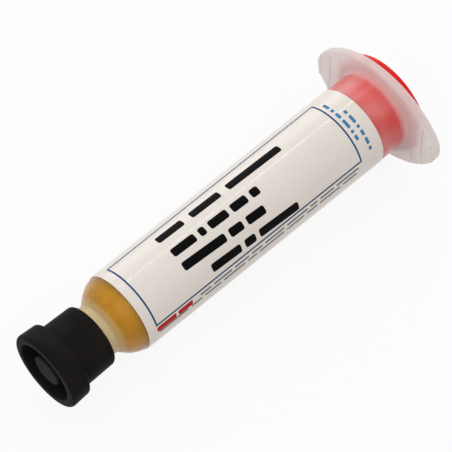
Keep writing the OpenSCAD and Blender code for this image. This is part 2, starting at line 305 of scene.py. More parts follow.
class StageSettings(bpy.types.PropertyGroup):
    distance: length("Distance", 500.1, "From the camera to what it looks at")
    azimuth: degrees("Azimuth", -44.03, "Direction of the camera round the syringe")
    elevation: degrees("Elevation", 54.83, "Height of the camera above the horizon")
    roll: degrees("Roll", 0.73, "Turn of the picture")
    target: FloatVectorProperty(name="Target", description="Point at the picture's centre", size=3,
                                default=(0.00148, 0.00024, 0.01095), subtype="XYZ", unit="LENGTH")
    lens: number("Lens", 191.15, "Focal length in millimetres", "CAMERA")
    floor_half: length("Floor", 4000, "Half of the floor's side")
    key_watts: number("Key light", 2.0, "Power of the light in front and overhead", "POWER")
    back_watts: number("Back light", 2.4, "Power of the light behind", "POWER")
    strip_watts: number("Strip light", 1.0, "Power of the narrow light behind", "POWER")
    sky: number("Sky", 0.67, "Strength of the even light")
    sky_tint: colour("Sky tint", (1.0, 0.985, 0.97), "Colour of the even light")
    floor: colour("Floor", (0.86, 0.86, 0.86), "Colour of the floor")
    floor_white: share("White floor", 0.9, "How far the floor that is seen goes to plain white")
    floor_bounce: colour("Floor bounce", (0.48, 0.42, 0.38), "Colour of the floor to the light it sends up")


class SyringeSettings(bpy.types.PropertyGroup):
    barrel: PointerProperty(type=BarrelSizes)
    label: PointerProperty(type=LabelSizes)
    paste: PointerProperty(type=PasteSizes)
    piston: PointerProperty(type=PistonSizes)
    tip_cap: PointerProperty(type=TipCapSizes)
    end_cap: PointerProperty(type=EndCapSizes)
    stage: PointerProperty(type=StageSettings)


def settings():
    """The syringe's settings on the current scene."""
    return bpy.context.scene.syringe


def standing_to_lying():
    """Takes a piece drawn nose down along +Z to where it lies; drawn +X ends up underneath."""
    nose = Vector(END_FACE["pos_m"]) - AXIS * settings().barrel.total
    under = Vector((AXIS.z, 0, -AXIS.x))
    across = Vector((0, 1, 0))
    turn = Matrix((under, across, AXIS)).transposed().to_4x4()
    return Matrix.Translation(nose) @ turn


def curve(r, z, radius, start, end, steps=CURVE_STEPS):
    """Points of an arc about (r, z), in degrees; 0 points outwards and 90 to the rear."""
    count = max(2, math.ceil(abs(end - start) / 90 * steps))
    angles = [math.radians(start + (end - start) * i / count) for i in range(count + 1)]
    return [(r + radius * math.cos(a), z + radius * math.sin(a)) for a in angles]


def rounding(r, z, radius, start, end, steps=CURVE_STEPS):
    """Points of a quarter turn, rounded or hollow, that takes the place of a square corner at (r, z)."""
    middle = math.radians((start + end) / 2)
    across, along = math.copysign(radius, math.cos(middle)), math.copysign(radius, math.sin(middle))
    return curve(r - across, z - along, radius, start, end, steps)


def turned(points, closed=False, steps=TURN_STEPS, angle=FULL_TURN):
    """A bmesh of a profile, given as (radius, station), spun about the axis."""
    bm = bmesh.new()
    verts = [bm.verts.new((r, 0, z)) for r, z in points]
    edges = [bm.edges.new(pair) for pair in zip(verts, verts[1:])]
    if closed:
        edges.append(bm.edges.new((verts[-1], verts[0])))
    bmesh.ops.spin(bm, geom=verts + edges, cent=(0, 0, 0), axis=(0, 0, 1), dvec=(0, 0, 0),
                   angle=angle, steps=steps, use_merge=angle == FULL_TURN)
    bmesh.ops.remove_doubles(bm, verts=bm.verts, dist=WELD)
    return bm


def turned_solid(points):
    """A turned bmesh whose profile starts and ends on the axis, with its faces outwards."""
    bm = turned(points)
    bmesh.ops.recalc_face_normals(bm, faces=bm.faces)
    return bm


def two_ridges(points, start, angle, steps, rise=0.0):
    """A section, given as (radius, station), swept round the axis on two opposite sides."""
    bm = bmesh.new()
    for turn in (start, start + math.pi):
        verts = [bm.verts.new((r * math.cos(turn), r * math.sin(turn), z)) for r, z in points]
        edges = [bm.edges.new(pair) for pair in zip(verts, verts[1:] + verts[:1])]
        bmesh.ops.spin(bm, geom=verts + edges, cent=(0, 0, 0), axis=(0, 0, 1), dvec=(0, 0, rise),
                       angle=angle, steps=steps)
    close_and_face_out(bm)
    return bm


def bevel(bm, geom, offset, affect="EDGES", segments=EDGE_STEPS, clamp=False):
    """Rounds edges or corners."""
    bmesh.ops.bevel(bm, geom=geom, offset=offset, affect=affect, segments=segments, profile=0.5,
                    material=-1, clamp_overlap=clamp)


def verts_in(geom):
    """The vertices among what an operator gives back."""
    return [item for item in geom if isinstance(item, bmesh.types.BMVert)]


def close_and_face_out(bm):
    """Fills open ends, drops what has no area and points every face outwards."""
    bmesh.ops.dissolve_degenerate(bm, dist=WELD, edges=bm.edges)
    bmesh.ops.holes_fill(bm, edges=[e for e in bm.edges if e.is_boundary])
    bmesh.ops.recalc_face_normals(bm, faces=bm.faces)


def to_mesh(name, bm):
    """A mesh made of a bmesh, which is freed."""
    mesh = bpy.data.meshes.new(name)
    bm.to_mesh(mesh)
    bm.free()
    return mesh


def new_object(name, data):
    """A new object in the scene."""
    item = bpy.data.objects.new(name, data)
    bpy.context.scene.collection.objects.link(item)
    return item


def make_piece(name, bm, material, body, node=None, weighted=True):
    """Lays a drawn piece down, gives it its finish and sets it on its body."""
    bm.transform(standing_to_lying())
    for face in bm.faces:
        face.smooth = True
    for edge in bm.edges:
        edge.smooth = len(edge.link_faces) == 2 and edge.calc_face_angle(0) < CRISP
    mesh = to_mesh(name, bm)
    mesh.materials.append(material)
    piece = new_object(name, mesh)
    if weighted:
        modifier = piece.modifiers.new("Even shading", "WEIGHTED_NORMAL")
        modifier.keep_sharp = True
    if body:
        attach(piece, body)
    if node:
        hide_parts(node)
    return piece


def node_helpers(tree):
    """A helper that gives a node's inputs sockets or values, and one that adds a node with its inputs."""
    def feed(item, inputs):
        for key, value in inputs.items():
            if isinstance(value, bpy.types.NodeSocket):
                tree.links.new(value, item.inputs[key])
            else:
                item.inputs[key].default_value = value

    def add(kind, inputs=None, **attributes):
        item = tree.nodes.new(kind)
        for key, value in attributes.items():
            setattr(item, key, value)
        feed(item, inputs or {})
        return item

    return feed, add


def new_material(name):
    """A node material with its shader and output nodes and its helpers."""
    material = bpy.data.materials.new(name)
    material.use_nodes = True
    nodes = material.node_tree.nodes
    feed, add = node_helpers(material.node_tree)
    return material, nodes["Principled BSDF"], nodes["Material Output"], feed, add


def along_axis(add, stretch=(1, 1, 1)):
    """Object coordinates turned so that X runs along the barrel, then stretched."""
    place = add("ShaderNodeTexCoord")
    return add("ShaderNodeMapping", {"Vector": place.outputs["Object"], "Rotation": (0, TILT, 0),
                                     "Scale": stretch}).outputs["Vector"]


def noise(add, vector, scale, detail, roughness=0.5):
    """A noise value whose features are 1 / scale metres across."""
    return add("ShaderNodeTexNoise", {"Vector": vector, "Scale": scale, "Detail": detail,
                                      "Roughness": roughness}).outputs["Fac"]


def spread(add, value, low, high, source=(0.3, 0.7)):
    """Maps a value's source range, by default that of a noise, to low and high."""
    return add("ShaderNodeMapRange", {"Value": value, "From Min": source[0], "From Max": source[1],
                                      "To Min": low, "To Max": high}).outputs["Result"]


def tones(add, value, dark, light):
    """A colour between two tones, chosen by a value."""
    return add("ShaderNodeMix", {"Factor": value, "A": (*dark, 1), "B": (*light, 1)},
               data_type="RGBA").outputs["Result"]


def shade(rgb, factor):
    """A colour made lighter or darker."""
    return tuple(min(1.0, c * factor) for c in rgb)


def relief(add, height, distance, strength):
    """The normals of a fine relief."""
    return add("ShaderNodeBump", {"Height": height, "Distance": distance,
                                  "Strength": strength}).outputs["Normal"]


def calc(add, operation, *values):
    """The result of an operation on values or sockets."""
    return add("ShaderNodeMath", dict(enumerate(values)), operation=operation).outputs[0]


def any_ray(add, *kinds):
    """One where a ray is of any of the kinds."""
    rays = add("ShaderNodeLightPath").outputs
    found = rays[kinds[0]]
    for kind in kinds[1:]:
        found = calc(add, "MAXIMUM", found, rays[kind])
    return found


def mix(add, factor, first, second):
    """A mix of two shaders, by the share of the second."""
    return add("ShaderNodeMixShader", {0: factor, 1: first.outputs[0], 2: second.outputs[0]})


def by_station(add, stops):
    """A value or colour that changes along the barrel, given as (station, value) pairs."""
    nose = standing_to_lying().translation.dot(AXIS)
    split = add("ShaderNodeSeparateXYZ", {"Vector": along_axis(add)})
    along = spread(add, split.outputs["X"], 0, 1, (nose, nose + settings().barrel.total))
    ramp = add("ShaderNodeValToRGB", {"Fac": along})
    marks = ramp.color_ramp.elements
    for mark in marks[1:]:
        marks.remove(mark)
    for index, (station, value) in enumerate(stops):
        mark = marks[0] if index == 0 else marks.new(station / settings().barrel.total)
        mark.position = station / settings().barrel.total
        mark.color = (value, value, value, 1) if isinstance(value, float) else (*value, 1)
    return ramp.outputs["Color"]


def natural_plastic():
    """Plastic that is clear where it is thin and milky where it is thick, with faint flow lines and a
    painted amber glow at the neck.
    """
    material, shader, output, feed, add = new_material("natural_plastic")
    b = settings().barrel
    rear_start = b.flange_front - b.rear_haze
    frost_start = b.flange_front - b.frost_run
    flow = noise(add, along_axis(add, (0.08, 1, 1)), 420, 4)
    cloud = noise(add, along_axis(add), 90, 3)
    # Painted glow: the colour goes from the painted amber of the paste's light at the neck to the plastic's
    # own tint at the body
    tint = by_station(add, (
        (b.floor_back + b.neck_glow_fade, tuple(b.painted_neck_glow)), (b.body_start, tuple(b.tint))))
    patchy = spread(add, cloud, 0.97, 1.04)
    frosted = by_station(add, ((frost_start, b.wall_rough), (b.flange_front, b.flange_rough)))
    by_wall = by_station(add, (
        (b.collar_floor, b.neck_clear), (b.floor_back + b.neck_haze, b.wall_clear),
        (b.body_start, b.wall_clear), (rear_start, b.rear_clear),
        (frost_start, b.rear_clear), (b.flange_front, b.flange_clear)))
    # The plug presses on the wall in some places and leaves a film of air in others
    film = spread(add, noise(add, along_axis(add, (0.6, 1, 1)), 150, 1), 0, b.film, (0.45, 0.7))
    rear = by_station(add, ((b.body_start, 0.0), (rear_start, 1.0), (b.flange_front, b.film_left)))
    clear = calc(add, "SUBTRACT", by_wall, calc(add, "MULTIPLY", film, rear))
    base = add("ShaderNodeVectorMath", {0: tint, "Scale": patchy}, operation="SCALE")
    feed(shader, {
        "Base Color": base.outputs[0],
        "Roughness": calc(add, "ADD", frosted, spread(add, flow, -0.03, 0.03)),
        "Transmission Weight": clear,
        "IOR": 1.4,
        "Specular Tint": (0.55, 0.55, 0.55, 1),
        "Sheen Weight": 0.4,
        "Sheen Roughness": 0.45,
        "Normal": relief(add, flow, 0.00001, 0.5),
    })
    # Where it is milky, part of the light comes through from behind
    milk = add("ShaderNodeBsdfTranslucent", {"Color": tint})
    solid = mix(add, spread(add, clear, b.milk, 0, (0, 1)), shader, milk)
    # Lamps shine through the wall onto what it holds
    window = add("ShaderNodeBsdfTransparent", {"Color": (*b.tint, 1)})
    mixed = mix(add, any_ray(add, "Is Shadow Ray", "Is Diffuse Ray"), solid, window)
    feed(output, {"Surface": mixed.outputs[0]})
    return material


def coated_paper():
    """White label stock with a clear coat and a faint fibre."""
    material, shader, _, feed, add = new_material("coated_label")
    label = settings().label
    fibre = noise(add, along_axis(add, (0.5, 1, 1)), 2600, 5, 0.6)
    cloud = noise(add, along_axis(add), 60, 2)
    # The front edge is stretched over the shoulder's curve, so it has small creases
    crease = noise(add, along_axis(add, (0.3, 1, 1)), 900, 2)
    edge = by_station(add, (
        (label.front + label.crease_start, 1.0), (label.front + label.crease_end, 0.0)))
    puckers = calc(add, "MULTIPLY", crease, edge)
    surface = relief(add, calc(add, "MULTIPLY_ADD", fibre, 0.05, puckers), 0.00015, 0.6)
    feed(shader, {
        "Base Color": tones(add, cloud, shade(label.paper, 0.97), shade(label.paper, 1.03)),
        "Roughness": spread(add, fibre, 0.30, 0.42),
        "Coat Weight": 0.5,
        "Coat Roughness": 0.07,
        "Normal": surface,
        "Coat Normal": surface,
    })
    return material


def ink(name, rgb):
    """Printed colour that lets a little of the paper's grain through."""
    material, shader, _, feed, add = new_material(name)
    grain = noise(add, along_axis(add), 3500, 3, 0.6)
    feed(shader, {
        "Base Color": tones(add, grain, shade(rgb, 0.8), shade(rgb, 1.25)),
        "Roughness": spread(add, grain, 0.32, 0.46),
        "Specular IOR Level": DULL,
    })
    return material


def amber_paste():
    """Waxy amber paste with soft swirls and small lighter spots."""
    material, shader, _, feed, add = new_material("amber_paste")
    rgb = settings().paste.colour
    swirl = noise(add, along_axis(add, (0.6, 1, 1)), 140, 3, 0.45)
    spots = noise(add, along_axis(add), 900, 2)
    swirly = spread(add, swirl, 0, 1, (0.35, 0.65))
    feed(shader, {
        "Base Color": tones(add, swirly, shade(rgb, 0.86), shade(rgb, 1.14)),
        "Roughness": spread(add, spots, 0.35, 0.5),
        "Specular IOR Level": DULL,
        "Subsurface Weight": 0.8,
        "Subsurface Radius": (1.0, 0.6, 0.15),
        "Subsurface Scale": 4 * MM,
        "Normal": relief(add, spots, 0.00003, 0.4),
    })
    return material


def moulded_plastic(name, rgb, gloss, grain_size, depth, glow=0.0, mirror=0.5, uneven=0.08):
    """Opaque moulded plastic with a fine surface grain and a slightly uneven tone."""
    material, shader, _, feed, add = new_material(name)
    grain = noise(add, along_axis(add), 1 / grain_size, 4, 0.6)
    cloud = spread(add, noise(add, along_axis(add), 120, 2), 0, 1)
    feed(shader, {
        "Base Color": tones(add, cloud, shade(rgb, 1 - uneven), shade(rgb, 1 + uneven)),
        "Roughness": spread(add, grain, gloss - 0.05, gloss + 0.07),
        "Specular IOR Level": mirror,
        "Subsurface Weight": glow,
        "Subsurface Radius": (1.0, 0.2, 0.1),
        "Subsurface Scale": 1.5 * MM,
        "Normal": relief(add, grain, depth, 0.5),
    })
    return material


def flange_outline(bm, b):
    """Two wide arcs joined smoothly to two end arcs; gives the wide radius and both centres."""
    end_y = b.flange_half_len - b.flange_end_r
    side_r = ((end_y ** 2 + b.flange_half_w ** 2 - b.flange_end_r ** 2)
              / (2 * (b.flange_half_w - b.flange_end_r)))
    side_x = side_r - b.flange_half_w
    end_turn = math.atan2(side_x, end_y)
    quarter = TURN_STEPS // 4
    end_steps = quarter // 2
    down = (0, 0, -1)
    start = bm.verts.new((0, b.flange_half_len, b.flange_front))
    first = bmesh.ops.spin(bm, geom=[start], cent=(0, end_y, 0), axis=down,
                           angle=end_turn, steps=end_steps)
    bmesh.ops.spin(bm, geom=verts_in(first["geom_last"]), cent=(-side_x, 0, 0), axis=down,
                   angle=math.pi / 2 - end_turn, steps=quarter - end_steps)
    for axis in ("X", "Y"):
        bmesh.ops.mirror(bm, geom=bm.verts[:] + bm.edges[:], axis=axis, merge_dist=0)
    bmesh.ops.remove_doubles(bm, verts=bm.verts, dist=WELD)
    return side_r, side_x, end_y


def flange_rim(b):
    """The flange's rounded edge as an open band, and a function for its half width."""
    bm = bmesh.new()
    side_r, side_x, end_y = flange_outline(bm, b)
    cap = bmesh.ops.contextual_create(bm, geom=bm.edges[:])["faces"]
    grown = bmesh.ops.extrude_face_region(bm, geom=cap, use_keep_orig=True)["geom"]
    bmesh.ops.translate(bm, verts=verts_in(grown), vec=(0, 0, b.flange_t))
    flat = [f for f in bm.faces if len(f.verts) > 4]
    rims = list({e for f in flat for e in f.edges})
    bevel(bm, rims, b.flange_edge, segments=RIM_STEPS, clamp=True)
    bmesh.ops.delete(bm, geom=[f for f in bm.faces if len(f.verts) > 4], context="FACES_ONLY")

    def half_width(y):
        """Half of the flange's width at a distance from its middle."""
        join_y = side_r * end_y / (side_r - b.flange_end_r)
        if y < join_y:
            return math.sqrt(side_r ** 2 - y ** 2) - side_x
        return math.sqrt(b.flange_end_r ** 2 - (y - end_y) ** 2)

    return bm, half_width


def grip_rib(b, y, run):
    """A soft straight bar on the flange's front face, flared at its foot and open underneath."""
    bm = bmesh.new()
    bmesh.ops.create_cube(bm, size=1)
    bmesh.ops.scale(bm, verts=bm.verts, vec=(run, b.rib_w, b.rib_h - b.rib_foot))
    bmesh.ops.translate(bm, verts=bm.verts, vec=(0, 0, b.flange_front - (b.rib_h + b.rib_foot) / 2))
    top = b.flange_front - b.rib_h
    corner = b.rib_corner * b.rib_w
    crest_round = b.rib_crest * (b.rib_h - b.rib_foot)
    upright = [e for e in bm.edges if e.verts[0].co.xy == e.verts[1].co.xy]
    bevel(bm, upright, corner)
    low = [f for f in bm.faces if all(v.co.z > top + NEAR for v in f.verts)]
    bmesh.ops.delete(bm, geom=low, context="FACES_ONLY")
    crest = [e for e in bm.edges if all(abs(v.co.z - top) < NEAR for v in e.verts)]
    bevel(bm, crest, crest_round)
    # A quarter-round hollow at the foot
    for i in range(FOOT_RINGS):
        loop = [e for e in bm.edges if e.is_boundary]
        made = bmesh.ops.extrude_edge_only(bm, edges=loop)["geom"]
        rim = verts_in(made)
        before, after = (math.radians(90 * k / FOOT_RINGS) for k in (i, i + 1))
        had, has = (b.rib_foot * (1 - math.cos(a)) for a in (before, after))
        bmesh.ops.scale(bm, verts=rim, vec=((run / 2 + has) / (run / 2 + had),
                                            (b.rib_w / 2 + has) / (b.rib_w / 2 + had), 1))
        bmesh.ops.translate(bm, verts=rim, vec=(0, 0, b.rib_foot * (math.sin(after) - math.sin(before))))
    bmesh.ops.translate(bm, verts=bm.verts, vec=(0, y, 0))
    return bm


def absorb(bm, part):
    """Moves all of one bmesh into another."""
    mesh = to_mesh("part", part)
    bm.from_mesh(mesh)
    bpy.data.meshes.remove(mesh)


def shoulder_inside(b):
    """The shoulder's inner curve: its centre's radius, its own radius, and its cone's at the floor."""
    centre_r = b.front_r - b.shoulder_round
    wall_round = b.shoulder_round - (b.front_r - b.bore_r)
    inner_r = centre_r + wall_round * math.cos(b.shoulder_angle)
    inner_z = b.body_start - wall_round * math.sin(b.shoulder_angle)
    floor_r = inner_r - (inner_z - b.floor_back) * math.tan(b.shoulder_angle)
    return centre_r, wall_round, floor_r


def barrel_profile(b):
    """From the flange's front face down the outside, round the outlet and up the bore."""
    centre_r, wall_round, floor_r = shoulder_inside(b)
    steep = math.degrees(b.shoulder_angle)
    slope = (b.back_r - b.front_r) / (b.flange_front - b.body_start)
    fillet_r = b.back_r - slope * b.flange_fillet
    cone_r = centre_r + b.shoulder_round * math.cos(b.shoulder_angle)
    cone_z = b.body_start - b.shoulder_round * math.sin(b.shoulder_angle)
    neck_z = cone_z - (cone_r - b.collar_r) / math.tan(b.shoulder_angle)
    # The hollow curve is tangent to the neck and to the shoulder's cone
    reach = b.neck_round * math.tan(b.shoulder_angle / 2)
    hollow = curve(b.collar_r + b.neck_round, neck_z - reach, b.neck_round, 180 - steep, 180, WIDE_STEPS)
    return (
        rounding(fillet_r, b.flange_front, b.flange_fillet, 90, 180)
        + [(b.front_r, b.body_start)]
        + curve(centre_r, b.body_start, b.shoulder_round, 0, -steep, SHOULDER_STEPS)[1:]
        + hollow
        + rounding(b.collar_r, b.collar_front, b.lip_edge, 0, -90, EDGE_STEPS)
        + rounding(b.collar_bore_r, b.collar_front, b.lip_edge, 270, 180, EDGE_STEPS)
        + [(b.collar_bore_r, b.collar_floor), (b.outlet_base_r, b.collar_floor)]
        + rounding(b.outlet_tip_r, b.outlet_end, b.lip_edge, 0, -90, EDGE_STEPS)
        + [(b.channel_r, b.outlet_end), (b.channel_r, b.floor_back - b.funnel_drop),
           (floor_r, b.floor_back)]
        + curve(centre_r, b.body_start, wall_round, -steep, 0, SHOULDER_STEPS)
        + [(b.bore_r, b.flange_front + b.flange_t - b.mouth_chamfer),
           (b.bore_r + b.mouth_chamfer, b.flange_front + b.flange_t)]
    )


def body_radius(b, station):
    """Outer radius of the barrel on its shoulder curve or its straight body."""
    if station < b.body_start:
        depth = math.sqrt(b.shoulder_round ** 2 - (b.body_start - station) ** 2)
        return b.front_r - b.shoulder_round + depth
    drafted = (station - b.body_start) / (b.flange_front - b.body_start)
    return b.front_r + (b.back_r - b.front_r) * drafted


class SYRINGE_OT_barrel(bpy.types.Operator):
    """Make the natural plastic barrel with its flange, grip ribs and collar thread"""
    bl_idname = "syringe.barrel"
    bl_label = "Barrel"

    def execute(self, context):
        b = settings().barrel
        plastic = natural_plastic()
        bm = turned(barrel_profile(b))
        rim, half_width = flange_rim(b)
        absorb(bm, rim)
        for side in (-1, 1):
            for i in range(b.rib_count):
                y = b.rib_first + i * b.rib_pitch
                absorb(bm, grip_rib(b, side * y, 2 * (half_width(y) - b.rib_margin)))
        bmesh.ops.triangle_fill(bm, edges=self.open_edges(bm, b.flange_front), use_beauty=True,
                                use_dissolve=False, normal=(0, 0, -1))
        bmesh.ops.bridge_loops(bm, edges=self.open_edges(bm, b.flange_front + b.flange_t))
        bmesh.ops.recalc_face_normals(bm, faces=bm.faces)
        make_piece("barrel_moulding", bm, plastic, "barrel", "barrel")
        make_piece("collar_thread", self.thread(b), plastic, "barrel")
        return {"FINISHED"}

    def open_edges(self, bm, station):
        """The boundary edges that lie at one station."""
        return [e for e in bm.edges
                if e.is_boundary and all(abs(v.co.z - station) < NEAR for v in e.verts)]

    def thread(self, b):
        """Two helical ridges inside the lock collar."""
        root = b.collar_bore_r + SUNK
        crest = b.thread_crest * b.thread_half
        first = b.collar_front + b.thread_margin
        run = b.collar_floor - b.thread_margin - first
        turns = run / b.thread_lead
        steps = round(turns * THREAD_STEPS)
        points = [(root, first - b.thread_half), (b.thread_r, first - crest),
                  (b.thread_r, first + crest), (root, first + b.thread_half)]
        return two_ridges(points, 0, FULL_TURN * turns, steps, run / steps)


class SYRINGE_OT_label(bpy.types.Operator):
    """Wrap the white label round the barrel"""
    bl_idname = "syringe.label"
    bl_label = "Label"

    def execute(self, context):
        b, label = settings().barrel, settings().label
        reach = b.body_start - label.front
        stations = [label.front + reach * i / BEND_RINGS for i in range(BEND_RINGS + 1)] + [label.back]
        inner = [(body_radius(b, z) + label.glue, z) for z in stations]
        outer = [(r + label.thickness, z) for r, z in reversed(inner)]
        bm = turned(inner + outer, closed=True, steps=LABEL_STEPS, angle=FULL_TURN - label.seam)
        half_seam = Matrix.Rotation(label.seam / 2, 3, "Z")
        bmesh.ops.rotate(bm, verts=bm.verts, cent=(0, 0, 0), matrix=half_seam)
        close_and_face_out(bm)
        make_piece("label_sleeve", bm, coated_paper(), "barrel", "label")
        return {"FINISHED"}


class SYRINGE_OT_print(bpy.types.Operator):
    """Print the frame line and plain bars on the label"""
    bl_idname = "syringe.print"
    bl_label = "Print"

    def execute(self, context):
        b, label = settings().barrel, settings().label
        self.frame_line(b, label)
        self.long_rows(b, label)
        self.round_rows(b, label)
        return {"FINISHED"}

    def patch(self, bm, b, label, station, run, angle, width, lean=0.0, corner=0.0, line=0.0):
        """A thin curved patch of ink, or a closed line round it, given by its middle and its sizes."""
        over_body = label.glue + label.thickness
        radius = body_radius(b, station) + over_body
        piece = bmesh.new()
        bmesh.ops.create_grid(piece, x_segments=1, y_segments=1, size=0.5)
        bmesh.ops.scale(piece, verts=piece.verts, vec=(run, width, 1))
        if corner:
            bevel(piece, piece.verts[:], corner, "VERTICES")
        if line:
            inner = piece.faces[:]
            bmesh.ops.inset_region(piece, faces=inner, thickness=line, use_boundary=True,
                                   use_even_offset=True)
            bmesh.ops.delete(piece, geom=inner, context="FACES_ONLY")
        bmesh.ops.rotate(piece, verts=piece.verts, cent=(0, 0, 0), matrix=Matrix.Rotation(lean, 3, "Z"))
        # Cuts along the barrel let the patch follow the curve of the label
        reach = max(v.co.y for v in piece.verts)
        cuts = math.ceil(2 * reach / (PRINT_STEP * radius)) - 1
        for i in range(cuts):
            cut_y = 2 * reach * (i + 1) / (cuts + 1) - reach
            bmesh.ops.bisect_plane(piece, geom=piece.verts[:] + piece.edges[:] + piece.faces[:],
                                   plane_co=(0, cut_y, 0), plane_no=(0, 1, 0))
        grown = bmesh.ops.extrude_face_region(piece, geom=piece.faces[:], use_keep_orig=True)["geom"]
        lifted = set(verts_in(grown))
        for v in piece.verts:
            z = station + v.co.x
            # Angles count from the top of the label towards the viewer's side
            a = math.pi + angle + v.co.y / radius
            r = body_radius(b, z) + over_body + (label.ink if v in lifted else -label.ink_sunk)
            v.co = (r * math.cos(a), r * math.sin(a), z)
        absorb(bm, piece)

    def print_piece(self, name, bm, material):
        """Makes a piece of the printed patches."""
        bmesh.ops.recalc_face_normals(bm, faces=bm.faces)
        make_piece(name, bm, material, "barrel", weighted=False)

    def frame_line(self, b, label):
        """One thin line round the label's face."""
        bm = bmesh.new()
        middle_z = (label.frame_front + label.frame_back) / 2
        middle_a = (label.frame_low + label.frame_high) / 2
        width = (label.frame_low - label.frame_high) * (body_radius(b, middle_z) + label.thickness)
        self.patch(bm, b, label, middle_z, label.frame_back - label.frame_front, middle_a, width,
                   line=label.frame_w)
        self.print_piece("label_frame_line", bm, ink("blue_ink", tuple(label.line)))

    def long_rows(self, b, label):
        """Rows of plain bars where the label carries its print."""
        for name, (width, corner, lines) in LONG_ROWS.items():
            bm = bmesh.new()
            for angle, station, lean, gap, runs in lines:
                lean = math.radians(lean)
                along = 0
                for run in runs:
                    middle = (along + run / 2) * MM
                    place = station * MM + middle * math.cos(lean)
                    turn = math.radians(angle) + middle * math.sin(lean) / body_radius(b, place)
                    self.patch(bm, b, label, place, run * MM, turn, width * MM, lean, corner * MM)
                    along += run + gap
            self.print_piece("label_bars_" + name, bm, ink(name + "_ink", tuple(getattr(label, name))))

    def round_rows(self, b, label):
        """Two short rows of bars between the frame line and the label's rear edge."""
        bm = bmesh.new()
        for station, start, widths in ROUND_ROWS:
            angle = math.radians(start)
            for width in widths:
                turn = width / ROUND_R
                self.patch(bm, b, label, station * MM, ROUND_LENGTH * MM, angle + turn / 2, width * MM,
                           corner=ROUND_CORNER * MM)
                angle += turn + math.radians(ROUND_GAP)
        self.print_piece("label_bars_blue", bm, ink("pale_blue_ink", tuple(label.pale_blue)))


class SYRINGE_OT_paste(bpy.types.Operator):
    """Fill the barrel with paste from the outlet to the piston's nose"""
    bl_idname = "syringe.paste"
    bl_label = "Paste"

    def execute(self, context):
        b, p, piston = settings().barrel, settings().paste, settings().piston
        centre_r, wall_round, floor_r = shoulder_inside(b)
        steep = math.degrees(b.shoulder_angle)
        nose = p.face - piston.nose_len
        points = (
            [(0, b.outlet_end), (b.channel_r + p.wet, b.outlet_end),
             (b.channel_r + p.wet, b.floor_back - b.funnel_drop - p.wet),
             (floor_r + p.wet / math.cos(b.shoulder_angle), b.floor_back - p.wet)]
            + curve(centre_r, b.body_start, wall_round + p.wet, -steep, 0, SHOULDER_STEPS)
            + [(b.bore_r + p.wet, p.face), (piston.lip_r, p.face), (piston.nose_r, nose), (0, nose)]
        )
        bm = turned_solid(points)
        paste = make_piece("paste_fill", bm, amber_paste(), None, weighted=False)
        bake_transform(paste)
        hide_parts("flux_paste")
        return {"FINISHED"}


class SYRINGE_OT_piston(bpy.types.Operator):
    """Make the wiper piston"""
    bl_idname = "syringe.piston"
    bl_label = "Piston"

    def execute(self, context):
        p = settings().piston
        nose = p.lip_front - p.nose_len
        step = p.lip_r - p.waist_r
        points = (
            [(0, nose)]
            + [(p.nose_r, nose), (p.lip_r, p.lip_front), (p.lip_r, p.lip_front + p.lip_len),
               (p.waist_r, p.lip_front + p.lip_len + step), (p.waist_r, p.back - p.lip_len - step),
               (p.lip_r, p.back - p.lip_len)]
            + rounding(p.lip_r, p.back, p.edge, 0, 90, EDGE_STEPS)
            + rounding(p.cup_r, p.back, p.edge, 90, 180, EDGE_STEPS)
            + [(p.cup_r, p.lip_front + p.lip_len), (p.nose_r, nose + p.floor_t), (0, nose + p.floor_t)]
        )
        bm = turned_solid(points)
        white = moulded_plastic("white_plastic", tuple(p.colour), gloss=0.4, grain_size=0.0006,
                                depth=0.00001, glow=0.15)
        make_piece("wiper_piston", bm, white, "piston", "piston")
        return {"FINISHED"}


class SYRINGE_OT_tip_cap(bpy.types.Operator):
    """Make the black tip cap"""
    bl_idname = "syringe.tip_cap"
    bl_label = "Tip cap"

    def execute(self, context):
        c, b = settings().tip_cap, settings().barrel
        taper = (b.outlet_base_r - b.outlet_tip_r) / (b.collar_floor - b.outlet_end)
        floor_r = c.mouth_r - c.recess_draft
        root = c.root_round
        points = (
            [(0, c.post_setback)]
            + rounding(c.post_r, c.post_setback, c.post_round, -90, 0)
            + rounding(c.post_r, c.recess, root, 180, 90, ROOT_STEPS)
            + rounding(floor_r, c.recess, root, 90, 0, ROOT_STEPS)
            + rounding(c.mouth_r, c.front, c.mouth_round, 180, 270)
            + rounding(c.lip_r, c.front, c.lip_round, -90, 0, WIDE_STEPS)
            + rounding(c.lip_back_r, c.lip_len, c.back_round, 0, 90)
            + rounding(c.body_r, c.lip_len, root, 270, 180, ROOT_STEPS)
            + rounding(c.rear_r, c.back, c.rear_round, 0, 90)
            + [(c.bore_r, c.back), (c.bore_r, c.web_back), (c.hub_r, c.web_back), (c.hub_r, c.hub_end),
               (c.socket_r + (c.hub_end - b.outlet_end) * taper, c.hub_end),
               (c.socket_r, b.outlet_end), (c.socket_r, c.web_back), (0, c.web_back)]
        )
        bm = turned_solid(points)
        black = moulded_plastic("black_plastic", tuple(c.colour), gloss=0.5, grain_size=0.0005,
                                depth=0.00002, mirror=0.02, uneven=0.3)
        make_piece("tip_cap_moulding", bm, black, "tip_cap", "tip_cap")
        make_piece("tip_cap_lugs", self.lugs(c), black, "tip_cap")
        return {"FINISHED"}

    def lugs(self, c):
        """The two ears on the hub that turn into the collar's thread."""
        root = c.hub_r - SUNK
        back = c.hub_end - c.lug_setback
        front = back - c.lug_t
        points = [(root, front), (c.lug_r, front + c.lug_slope * c.lug_t), (c.lug_r, back), (root, back)]
        return two_ridges(points, -c.lug_angle / 2, c.lug_angle, LUG_STEPS)


